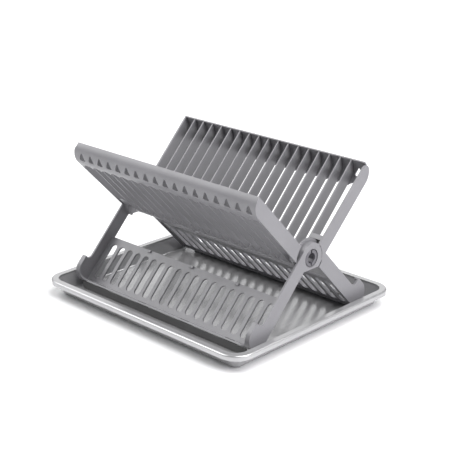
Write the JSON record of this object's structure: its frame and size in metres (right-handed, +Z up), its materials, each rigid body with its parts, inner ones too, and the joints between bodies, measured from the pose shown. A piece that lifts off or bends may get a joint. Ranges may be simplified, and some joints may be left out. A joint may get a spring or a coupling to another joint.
{
  "type": "folding dish drying rack",
  "caption": "Folding cross-frame plate drying rack with finned leaves and slotted drain panels, standing open in a shallow rimmed drip tray.",
  "frame": {"origin": "centre of the tray's underside", "axes": "+Z up, +X along the fold axis and the long side of the tray, +Y across the tray"},
  "size_m": [0.424, 0.362, 0.2428],
  "materials": {
    "rack_plastic": "satin",
    "stud_plastic": "satin",
    "tray_plastic": "semi-gloss",
    "pad_rubber": "matte"
  },
  "bodies": {
    "tray": {"tray_floor": "tray_plastic", "tray_end_walls": "tray_plastic", "tray_side_walls": "tray_plastic", "tray_rim": "tray_plastic"},
    "pivot": {"pivot_stud_left": "stud_plastic", "pivot_stud_right": "stud_plastic"},
    "frame_a": {"frame_a_boss_rail": "rack_plastic", "frame_a_cup_rail": "rack_plastic", "frame_a_boss_leg": "rack_plastic", "frame_a_cup_leg": "rack_plastic", "frame_a_boss_hub": "rack_plastic", "frame_a_cup_hub": "rack_plastic", "frame_a_boss_web": "rack_plastic", "frame_a_plate_fins": "rack_plastic", "frame_a_top_lip": "rack_plastic", "frame_a_heel_bar": "rack_plastic", "frame_a_drain_panel": "rack_plastic", "frame_a_foot_channel": "rack_plastic", "frame_a_foot_pads": "pad_rubber"},
    "frame_b": {"frame_b_boss_rail": "rack_plastic", "frame_b_cup_rail": "rack_plastic", "frame_b_boss_leg": "rack_plastic", "frame_b_cup_leg": "rack_plastic", "frame_b_boss_hub": "rack_plastic", "frame_b_cup_hub": "rack_plastic", "frame_b_boss_web": "rack_plastic", "frame_b_plate_fins": "rack_plastic", "frame_b_top_lip": "rack_plastic", "frame_b_heel_bar": "rack_plastic", "frame_b_drain_panel": "rack_plastic", "frame_b_foot_channel": "rack_plastic", "frame_b_foot_pads": "pad_rubber"}
  },
  "joints": [
    {"name": "rack_rise", "type": "slide", "parent": "tray", "child": "pivot", "axis": [0, 0, 1], "range_m": [0, 0.095]},
    {"name": "fold_b", "type": "hinge", "parent": "pivot", "child": "frame_b", "pos_m": [0, 0, 0.121], "axis": [1, 0, 0], "range_deg": [0, 42]},
    {"name": "fold_a", "type": "hinge", "parent": "pivot", "child": "frame_a", "pos_m": [0, 0, 0.121], "axis": [-1, 0, 0], "range_deg": [0, 42]}
  ],
  "couplings": [
    {"joint": "fold_a", "follows": "fold_b", "ratio": 1},
    {"joint": "rack_rise", "follows": "fold_b", "m_per_rad": 0.128}
  ]
}
